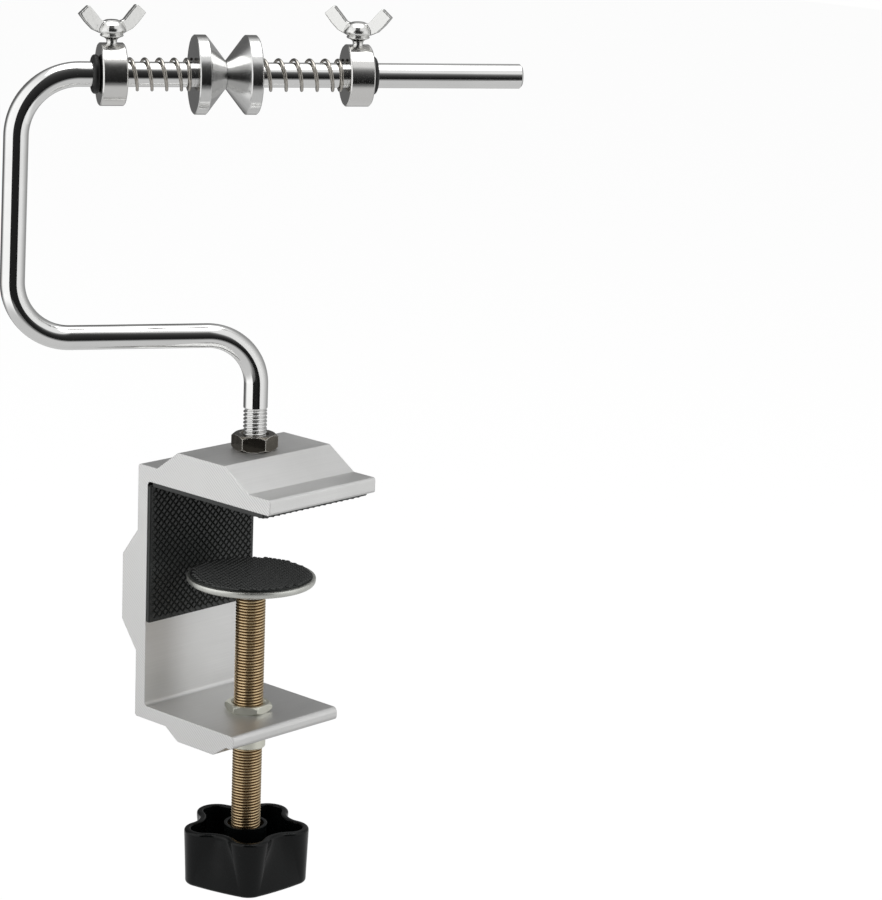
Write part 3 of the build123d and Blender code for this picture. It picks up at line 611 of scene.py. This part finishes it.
shader = add(tree, "ShaderNodeBsdfPrincipled", {"Base Color": tone, "Metallic": 1.0, "Roughness": rough})
add(tree, "ShaderNodeOutputMaterial", {"Surface": shader})

low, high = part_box("clamp_screw")
shoulder = high.z - 0.003
crest_radius, root_radius, fine_thread = 0.00498, 0.00442, 0.001
thread = grown(
    "clamp_screw_thread", cut_thread, None, Crest_radius=crest_radius, Root_radius=root_radius,
    Pitch=fine_thread, Length=shoulder - low.z, Middle=(shoulder + low.z) / 2, Rows=8, Sides=56,
    Metal=golden_zinc)
# the head, from the bottom of its cup over the rim and down the neck, as radius and depth below the top
head_profile = [(0, 0.0013), (0.0016, 0.0013), (0.002, 0), (0.00385, 0), (0.004, 0.00015), (0.004, 0.0012),
                (0.0028, 0.0012), (0.0028, 0.0032), (0, 0.0032)]
head = lathe("clamp_screw_head", [(r, high.z - depth) for r, depth in head_profile])
screw_mesh = shade_by_angle(joined_mesh("clamp_screw_threaded", thread, head), angle=50)
screw = mesh_piece("clamp_screw_threaded", screw_mesh, golden_zinc)
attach(screw, "clamp_screw")
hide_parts("clamp_screw")


# ---- Screw bush ----
# A turned bush with a thin hexagon head that lies on the lower jaw, nickel plated. Its sleeve comes out
# under the jaw's rib.

bright_nickel, tree, place = new_material("bright_nickel_plate")
# pale and slightly warm, softly mirror-like, with a little unevenness left by the plating
orange_peel = add(tree, "ShaderNodeTexNoise", {"Vector": place, "Scale": 700.0, "Detail": 2.0})
rough = add(tree, "ShaderNodeMapRange", {"Value": orange_peel, "To Min": 0.28, "To Max": 0.42})
soft_edge = add(tree, "ShaderNodeBevel", {"Radius": 0.0004}, samples=4)
grain = add(tree, "ShaderNodeBump", {
    "Height": orange_peel, "Strength": 0.15, "Distance": 0.0001, "Normal": soft_edge})
shader = add(tree, "ShaderNodeBsdfPrincipled", {
    "Base Color": linear("#dcdcd0"), "Metallic": 1.0, "Roughness": rough, "Normal": grain})
add(tree, "ShaderNodeOutputMaterial", {"Surface": shader})
dress(bright_nickel, "screw_bush")


# ---- Star knob ----
# Injection moulded in black nylon, open on its upper side, with a brass insert in its hub. The mould was
# polished, so the lobes are glossy and their thin rims catch the lamps.

black_nylon, tree, place = new_material("moulded_black_nylon")
# near black, with the faint waviness of a moulding and finer marks from handling
sink = add(tree, "ShaderNodeTexNoise", {"Vector": place, "Scale": 90.0, "Detail": 1.0})
marks = add(tree, "ShaderNodeTexNoise", {"Vector": place, "Scale": 1400.0, "Detail": 4.0})
rough = add(tree, "ShaderNodeMapRange", {"Value": marks, "To Min": 0.12, "To Max": 0.24})
tone = add(tree, "ShaderNodeMix", {
    "Factor": marks, "A": linear("#030404"), "B": linear("#080a0a")}, data_type="RGBA")
soft_edge = add(tree, "ShaderNodeBevel", {"Radius": 0.0004}, samples=4)
grain = add(tree, "ShaderNodeBump", {
    "Height": sink, "Strength": 0.25, "Distance": 0.0006, "Normal": soft_edge})
shader = add(tree, "ShaderNodeBsdfPrincipled", {
    "Base Color": tone, "Roughness": rough, "Normal": grain, "Specular IOR Level": 0.2})
add(tree, "ShaderNodeOutputMaterial", {"Surface": shader})
dress(black_nylon, "knob")

machined_brass, tree, place = new_material("machined_brass")
# yellow metal, dulled by the moulding's heat
dull = add(tree, "ShaderNodeTexNoise", {"Vector": place, "Scale": 500.0, "Detail": 3.0})
tone = add(tree, "ShaderNodeMix", {
    "Factor": dull, "A": linear("#8d7440"), "B": linear("#c2a561")}, data_type="RGBA")
shader = add(tree, "ShaderNodeBsdfPrincipled", {"Base Color": tone, "Metallic": 1.0, "Roughness": 0.35})
add(tree, "ShaderNodeOutputMaterial", {"Surface": shader})
dress(machined_brass, "knob_insert")


# ---- Lock nut ----
# A chamfered steel hexagon, plated black nickel, that locks the rod's stud on the top jaw. Along its edges a
# painted highlight turns it pale.

black_nickel, tree, place = new_material("black_nickel_plate")
shape = add(tree, "ShaderNodeNewGeometry")
soft_edge = add(tree, "ShaderNodeBevel", {"Radius": 0.00045}, samples=6)
bend = add(tree, "ShaderNodeVectorMath", {
    0: soft_edge, 1: shape.outputs["Normal"]}, operation="DOT_PRODUCT")
# painted highlight: pale metal colour along the edges, where the bevelled normal bends away from the face
painted_edge_highlight = add(tree, "ShaderNodeMapRange", {"Value": bend, "From Min": 0.985, "From Max": 0.93})
streak_place = add(tree, "ShaderNodeMapping", {"Vector": place, "Scale": (1.0, 1.0, 0.3)})
streak = add(tree, "ShaderNodeTexNoise", {"Vector": streak_place, "Scale": 420.0, "Detail": 4.0})
dark = add(tree, "ShaderNodeMix", {
    "Factor": streak, "A": linear("#545049"), "B": linear("#757067")}, data_type="RGBA")
tone = add(tree, "ShaderNodeMix", {"Factor": painted_edge_highlight, "A": dark, "B": linear("#d9d6d0")}, data_type="RGBA")
rough = add(tree, "ShaderNodeMapRange", {"Value": streak, "To Min": 0.12, "To Max": 0.28})
shader = add(tree, "ShaderNodeBsdfPrincipled", {
    "Base Color": tone, "Metallic": 1.0, "Roughness": rough, "Normal": soft_edge})
add(tree, "ShaderNodeOutputMaterial", {"Surface": shader})
dress(black_nickel, "lock_nut")


# ---- Bent rod ----
# One 8 mm bar of steel, threaded at one end, bent three times, chromed and polished. Its stud screws into
# the top jaw, and its far end is the shaft that carries the winding sets.

chrome, tree, place = new_material("polished_chrome")
# a clean mirror, with hair-fine scuffs that only just break it up
scuffs = add(tree, "ShaderNodeTexNoise", {"Vector": place, "Scale": 1200.0, "Detail": 5.0})
haze = add(tree, "ShaderNodeTexNoise", {"Vector": place, "Scale": 60.0, "Detail": 2.0})
smear = add(tree, "ShaderNodeMath", {0: scuffs, 1: haze}, operation="MULTIPLY")
rough = add(tree, "ShaderNodeMapRange", {"Value": smear, "From Max": 0.5, "To Min": 0.03, "To Max": 0.12})
tone = add(tree, "ShaderNodeMix", {
    "Factor": haze, "A": linear("#dcdcdb"), "B": linear("#efefee")}, data_type="RGBA")
shader = add(tree, "ShaderNodeBsdfPrincipled", {"Base Color": tone, "Metallic": 1.0, "Roughness": rough})
add(tree, "ShaderNodeOutputMaterial", {"Surface": shader})

swing = radians(57.5)
shaft_way = Vector((cos(swing), sin(swing), 0))
arm_z, shaft_z = 0.0527, 0.1377
riser_lean = radians(1.15)
shift = (shaft_z - arm_z) * tan(riser_lean)
reach = 0.08038
thread_top = 0.0277
rod_radius = 0.004
stud_bend, arm_bend, shaft_bend = 0.0165, 0.0185, 0.020
shaft_length = 0.14447
low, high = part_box("bent_rod")
stud_foot = low.z
shaft_start = shift - reach + shaft_bend
shaft_end = shaft_start + shaft_length


def rounded_route(corners, steps=28):
    """A flat route of straight runs and round bends, from (along, up, bend radius) corners."""
    points = [Vector((corners[0][0], corners[0][1]))]
    for before, here, after in zip(corners, corners[1:], corners[2:]):
        place = Vector(here[:2])
        back = (Vector(before[:2]) - place).normalized()
        on = (Vector(after[:2]) - place).normalized()
        half = back.angle(on) / 2
        centre = place + (back + on).normalized() * here[2] / sin(half)
        start = place + back * here[2] / tan(half)
        sweep = (pi - 2 * half) * (1 if back.cross(on) < 0 else -1)
        arm = start - centre
        for k in range(steps + 1):
            angle = sweep * k / steps
            points.append(centre + Vector((arm.x * cos(angle) - arm.y * sin(angle),
                                           arm.x * sin(angle) + arm.y * cos(angle))))
    points.append(Vector((corners[-1][0], corners[-1][1])))
    return points


route = rounded_route([(0, thread_top, 0), (0, arm_z, stud_bend), (-reach, arm_z, arm_bend),
                       (shift - reach, shaft_z, shaft_bend), (shaft_end, shaft_z, 0)])
chamfer = 0.0006
# the bar swells from the thread to its full size in two short steps
rings = [(route[0] + Vector((0, rise)), size)
         for rise, size in ((0, 0.0032), (0.0004, 0.0038), (0.0008, rod_radius))]
rings += [(p, rod_radius) for p in route[1:-1]]
rings += [(route[-1] - Vector((chamfer, 0)), rod_radius), (route[-1], rod_radius - chamfer)]
rod = bmesh.new()
sides = 64
side_way = shaft_way.cross(Vector((0, 0, 1)))
loops = []
for k, (spot, size) in enumerate(rings):
    ahead = rings[min(k + 1, len(rings) - 1)][0]
    behind = rings[max(k - 1, 0)][0]
    flat = (ahead - behind).normalized()
    across_way = shaft_way * -flat.y + Vector((0, 0, flat.x))
    middle = shaft_way * spot.x + Vector((0, 0, spot.y))
    loop = []
    for j in range(sides):
        turned = 2 * pi * j / sides
        loop.append(rod.verts.new(middle + (across_way * cos(turned) + side_way * sin(turned)) * size))
    loops.append(loop)
for first, second in zip(loops, loops[1:]):
    for j in range(sides):
        rod.faces.new((first[j], first[(j + 1) % sides], second[(j + 1) % sides], second[j]))
rod.faces.new(loops[0])
rod.faces.new(loops[-1])
bmesh.ops.recalc_face_normals(rod, faces=rod.faces)
rod_mesh = mesh_of("bent_rod_bar", rod)
shade_by_angle(rod_mesh, angle=20)
crest_radius, root_radius, coarse_thread = 0.00392, 0.00325, 0.00125
stud_head = thread_top + 0.0004
stud = grown(
    "rod_stud", cut_thread, None, Crest_radius=crest_radius, Root_radius=root_radius, Pitch=coarse_thread,
    Length=stud_head - stud_foot, Middle=(stud_head + stud_foot) / 2, Rows=8, Sides=48, Metal=chrome)
bent_rod = mesh_piece("bent_rod_chromed", joined_mesh("bent_rod_chromed", rod_mesh, stud), chrome)
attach(bent_rod, "arm")
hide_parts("bent_rod")


# ---- Rubber rings ----
# Two black O-rings stretched over the shaft. They back the collars and keep them from creeping.

ring_rubber, tree, place = new_material("nitrile_rubber")
# black and slightly shiny, with a moulding's faint bloom
bloom = add(tree, "ShaderNodeTexNoise", {"Vector": place, "Scale": 800.0, "Detail": 4.0})
tone = add(tree, "ShaderNodeMix", {
    "Factor": bloom, "A": linear("#040404"), "B": linear("#0e0e0e")}, data_type="RGBA")
grain = add(tree, "ShaderNodeBump", {"Height": bloom, "Strength": 0.2, "Distance": 0.0001})
shader = add(tree, "ShaderNodeBsdfPrincipled", {
    "Base Color": tone, "Roughness": 0.42, "Normal": grain, "Specular IOR Level": 0.3})
add(tree, "ShaderNodeOutputMaterial", {"Surface": shader})
dress(ring_rubber, "left_o_ring", "right_o_ring")


# ---- Collars ----
# Turned steel rings, faced and chromed, bored to slide on the shaft, with a tapped hole at the top. The
# tool's rings still show in their flat faces.

turned_chrome, tree, place = new_material("turned_and_chromed_steel")
# mirror-like with fine circles round the shaft, 0.5 mm apart
on_shaft = add(tree, "ShaderNodeMapping", {"Vector": place, "Location": (0, 0, -shaft_z)})
on_shaft = add(tree, "ShaderNodeMapping", {"Vector": on_shaft, "Rotation": (0, 0, -swing)})
circles = add(tree, "ShaderNodeTexWave", {
    "Vector": on_shaft, "Scale": 640.0, "Distortion": 0.4}, wave_type="RINGS", rings_direction="X")
haze = add(tree, "ShaderNodeTexNoise", {"Vector": place, "Scale": 500.0, "Detail": 4.0})
rough = add(tree, "ShaderNodeMapRange", {"Value": haze, "To Min": 0.08, "To Max": 0.2})
soft_edge = add(tree, "ShaderNodeBevel", {"Radius": 0.00025}, samples=4)
grain = add(tree, "ShaderNodeBump", {
    "Height": circles.outputs["Fac"], "Strength": 0.08, "Distance": 0.00004, "Normal": soft_edge})
shader = add(tree, "ShaderNodeBsdfPrincipled", {
    "Base Color": linear("#dddcda"), "Metallic": 1.0, "Roughness": rough, "Normal": grain})
add(tree, "ShaderNodeOutputMaterial", {"Surface": shader})
dress(turned_chrome, "left_collar", "right_collar")


# ---- Cones ----
# Two aluminium cones turned in a lathe, bright and uncoated. The tool's circles spread each highlight
# into a streak that runs from the rim to the tip.

turned_aluminium, tree, place = new_material("turned_aluminium")
# bright grey; the circles are 0.4 mm apart, and the shine is stretched across them
centred = add(tree, "ShaderNodeVectorMath", {0: place, 1: (0, 0, shaft_z)}, operation="SUBTRACT")
round_way = add(tree, "ShaderNodeVectorMath", {0: tuple(shaft_way), 1: centred}, operation="CROSS_PRODUCT")
round_way = add(tree, "ShaderNodeVectorMath", {0: round_way}, operation="NORMALIZE")
on_shaft = add(tree, "ShaderNodeMapping", {"Vector": centred, "Rotation": (0, 0, -swing)})
circles = add(tree, "ShaderNodeTexWave", {
    "Vector": on_shaft, "Scale": 800.0, "Distortion": 0.6, "Detail": 2.0}, wave_type="RINGS",
    rings_direction="X")
haze = add(tree, "ShaderNodeTexNoise", {"Vector": place, "Scale": 900.0, "Detail": 5.0})
rough = add(tree, "ShaderNodeMapRange", {"Value": haze, "To Min": 0.1, "To Max": 0.18})
tone = add(tree, "ShaderNodeMix", {
    "Factor": haze, "A": linear("#cfcfce"), "B": linear("#dededd")}, data_type="RGBA")
soft_edge = add(tree, "ShaderNodeBevel", {"Radius": 0.00025}, samples=4)
grain = add(tree, "ShaderNodeBump", {
    "Height": circles.outputs["Fac"], "Strength": 0.12, "Distance": 0.00005, "Normal": soft_edge})
shader = add(tree, "ShaderNodeBsdfPrincipled", {
    "Base Color": tone, "Metallic": 1.0, "Roughness": rough, "Anisotropic": 0.35, "Tangent": round_way,
    "Normal": grain})
add(tree, "ShaderNodeOutputMaterial", {"Surface": shader})
dress(turned_aluminium, "left_cone", "right_cone")


# ---- Springs ----
# Open-wound springs of 1 mm wire round the shaft, each with closed turns at one end: the left one at its
# cone, and the right one at its collar.

spring_wire, tree, place = new_material("drawn_spring_steel")
# a slightly warm grey with the long fine lines of the drawing die
streak = add(tree, "ShaderNodeTexNoise", {"Vector": place, "Scale": 1100.0, "Detail": 4.0})
tone = add(tree, "ShaderNodeMix", {
    "Factor": streak, "A": linear("#8f8a83"), "B": linear("#c9c5be")}, data_type="RGBA")
rough = add(tree, "ShaderNodeMapRange", {"Value": streak, "To Min": 0.06, "To Max": 0.14})
shader = add(tree, "ShaderNodeBsdfPrincipled", {"Base Color": tone, "Metallic": 1.0, "Roughness": rough})
add(tree, "ShaderNodeOutputMaterial", {"Surface": shader})

wound_wire, given = new_group(
    "wound_wire", ("Coil_radius", "Float"), ("Wire_radius", "Float"), ("Length", "Float"),
    ("Seat_gap", "Float"), ("Closed_turns", "Float"), ("Closed_pitch", "Float"), ("Open_turns", "Float"),
    ("Points_a_turn", "Float"), ("Metal", "Material"))
tree = wound_wire
total = add(tree, "ShaderNodeMath", {0: given["Closed_turns"], 1: given["Open_turns"]}, operation="ADD")
points = add(tree, "ShaderNodeMath", {0: total, 1: given["Points_a_turn"]}, operation="MULTIPLY")
line = add(tree, "GeometryNodeCurvePrimitiveLine", {"Start": (0, 0, 0), "End": (0, 0, 1)})
fine = add(tree, "GeometryNodeResampleCurve", {"Curve": line, "Count": points})
along = add(tree, "GeometryNodeSplineParameter")
turn = add(tree, "ShaderNodeMath", {0: along, 1: total}, operation="MULTIPLY")
close_turn = add(tree, "ShaderNodeMath", {0: turn, 1: given["Closed_turns"]}, operation="MINIMUM")
open_turn = add(tree, "ShaderNodeMath", {0: turn, 1: given["Closed_turns"]}, operation="SUBTRACT")
open_turn = add(tree, "ShaderNodeMath", {0: open_turn, 1: 0.0}, operation="MAXIMUM")
close_rise = add(tree, "ShaderNodeMath", {0: close_turn, 1: given["Closed_pitch"]}, operation="MULTIPLY")
whole_close = add(tree, "ShaderNodeMath", {
    0: given["Closed_turns"], 1: given["Closed_pitch"]}, operation="MULTIPLY")
seats = add(tree, "ShaderNodeMath", {0: given["Seat_gap"], 1: given["Wire_radius"]}, operation="ADD")
both_seats = add(tree, "ShaderNodeMath", {0: seats, 1: 2.0}, operation="MULTIPLY")
left_over = add(tree, "ShaderNodeMath", {0: given["Length"], 1: whole_close}, operation="SUBTRACT")
left_over = add(tree, "ShaderNodeMath", {0: left_over, 1: both_seats}, operation="SUBTRACT")
open_pitch = add(tree, "ShaderNodeMath", {0: left_over, 1: given["Open_turns"]}, operation="DIVIDE")
open_rise = add(tree, "ShaderNodeMath", {0: open_turn, 1: open_pitch}, operation="MULTIPLY")
rise = add(tree, "ShaderNodeMath", {0: close_rise, 1: open_rise}, operation="ADD")
rise = add(tree, "ShaderNodeMath", {0: rise, 1: seats}, operation="ADD")
angle = add(tree, "ShaderNodeMath", {0: turn, 1: 2 * pi}, operation="MULTIPLY")
coiled = round_z(tree, angle, given["Coil_radius"], rise)
coil = add(tree, "GeometryNodeSetPosition", {"Geometry": fine, "Position": coiled})
section = add(tree, "GeometryNodeCurvePrimitiveCircle", {"Resolution": 14, "Radius": given["Wire_radius"]})
wire = add(tree, "GeometryNodeCurveToMesh", {"Curve": coil, "Profile Curve": section, "Fill Caps": True})
smooth = add(tree, "GeometryNodeSetShadeSmooth", {"Geometry": wire, "Shade Smooth": True})
painted = add(tree, "GeometryNodeSetMaterial", {"Geometry": smooth, "Material": given["Metal"]})
add(tree, "NodeGroupOutput", {0: painted})


def shaft_frame(along_shaft, forward):
    """A frame on the shaft whose Z runs along it and whose X is up."""
    way = shaft_way if forward else -shaft_way
    up = Vector((0, 0, 1))
    columns = Matrix((up, way.cross(up), way)).transposed().to_4x4()
    return Matrix.Translation(shaft_way * along_shaft + Vector((0, 0, shaft_z))) @ columns


# the train on the shaft, from its start: a gap, the left ring, the left collar, the left spring, the two
# cones together, the right spring and the right collar
ring_gap, ring_width, ring_clearance, collar_width = 0.0034, 0.0022, 0.00005, 0.008
left_length, cones_length, right_length = 0.0224, 0.0205, 0.0289
left_collar_face = shaft_start + ring_gap + ring_width + ring_clearance + collar_width
left_cone_back = left_collar_face + left_length
right_cone_back = left_cone_back + cones_length
right_collar_face = right_cone_back + right_length
left_press, right_press = 0.010, 0.014
for name, closed_end, length, turns, joint, travel, cone_back in (
    ("left_spring", left_cone_back, left_length, 4.0, "left_cone_press", left_press, left_cone_back),
    ("right_spring", right_collar_face, right_length, 5.0, "right_cone_press", right_press, right_cone_back),
):
    mesh = grown(
        f"{name}_wire", wound_wire, None, Coil_radius=0.0049, Wire_radius=0.0005, Length=length,
        Seat_gap=0.0003, Closed_turns=1.25, Closed_pitch=0.0015, Open_turns=turns, Points_a_turn=40.0,
        Metal=spring_wire)
    mesh.transform(shaft_frame(closed_end, False))
    spring = mesh_piece(f"{name}_wire", mesh, spring_wire)
    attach(spring, f"{name}_end")
    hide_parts(name)
    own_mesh(spring)


# ---- Wing screws ----
# Zinc castings, tumbled and brightly plated: a domed hub with two flat wings that rise from it in a V, a
# boss and a waisted neck, and a steel thread cast in, whose point bears on the shaft.

cast_plate, tree, place = new_material("plated_zinc_casting")
# very bright, softened by the tumbling, with shallow dimples left by the mould
dimples = add(tree, "ShaderNodeTexNoise", {"Vector": place, "Scale": 620.0, "Detail": 3.0})
haze = add(tree, "ShaderNodeTexNoise", {"Vector": place, "Scale": 1900.0, "Detail": 3.0})
rough = add(tree, "ShaderNodeMapRange", {"Value": haze, "To Min": 0.1, "To Max": 0.22})
grain = add(tree, "ShaderNodeBump", {"Height": dimples, "Strength": 0.5, "Distance": 0.0002})
shader = add(tree, "ShaderNodeBsdfPrincipled", {
    "Base Color": linear("#dededc"), "Metallic": 1.0, "Roughness": rough, "Normal": grain})
add(tree, "ShaderNodeOutputMaterial", {"Surface": shader})


def cast_wings():
    """The casting of a wing screw at the origin, its thread's axis on Z and its wings along X."""
    mm = 0.001
    half_thick = 0.95 * mm
    hub = lathe("hub", [(r * mm, z * mm) for r, z in (
        (0, 8.6), (2.0, 8.6), (2.05, 9.2), (1.75, 9.8), (1.65, 10.5), (1.8, 11.1), (2.4, 11.6), (3.5, 12.0),
        (3.75, 12.25), (3.75, 12.5), (3.5, 12.7), (3.4, 12.85), (4.3, 13.3), (4.6, 14.0), (4.5, 14.8),
        (4.0, 15.8), (3.1, 16.7), (1.9, 17.25), (0, 17.45))], sides=40)
    edge = [(1.2, 13.0), (4.2, 13.1), (6.9, 14.3), (9.3, 16.6), (11.4, 19.2), (11.45, 19.4), (8.55, 21.88),
            (8.0, 21.8), (5.9, 19.5), (3.9, 17.2), (1.2, 16.4)]
    shapes = [hub]
    for hand in (1, -1):
        wing = bmesh.new()
        near = [wing.verts.new((hand * x * mm, -half_thick, z * mm)) for x, z in edge]
        far = [wing.verts.new((hand * x * mm, half_thick, z * mm)) for x, z in edge]
        wing.faces.new(near)
        wing.faces.new(list(reversed(far)))
        for k in range(len(edge)):
            n = (k + 1) % len(edge)
            wing.faces.new((near[n], near[k], far[k], far[n]))
        bmesh.ops.recalc_face_normals(wing, faces=wing.faces)
        shapes.append(mesh_of("wing", wing))
    carrier = placed("casting", joined_mesh("casting", *shapes))
    remesh = carrier.modifiers.new("melt", "REMESH")
    remesh.mode = "VOXEL"
    remesh.voxel_size = 0.00016
    remesh.use_smooth_shade = True
    soften = carrier.modifiers.new("tumble", "SMOOTH")
    soften.factor = 0.5
    soften.iterations = 3
    return taken_from(carrier)


casting = cast_wings()
point = grown(
    "wing_point", cut_thread, None, Crest_radius=0.00198, Root_radius=0.00165, Pitch=0.0007, Length=0.0048,
    Middle=0.00645, Rows=6, Sides=32, Metal=cast_plate)
wing_screw = joined_mesh("wing_screw", casting, point)
for name, body, along_shaft, turn in (
    ("left_wing_screw", "left_wing", left_collar_face - collar_width / 2, 74.0),
    ("right_wing_screw", "right_wing", right_collar_face + collar_width / 2, 23.2),
):
    mesh = wing_screw.copy()
    mesh.transform(Matrix.Translation(shaft_way * along_shaft + Vector((0, 0, shaft_z)))
                   @ Matrix.Rotation(radians(turn), 4, "Z"))
    wings = mesh_piece(f"{name}_cast", mesh, cast_plate)
    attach(wings, body)
    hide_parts(name)
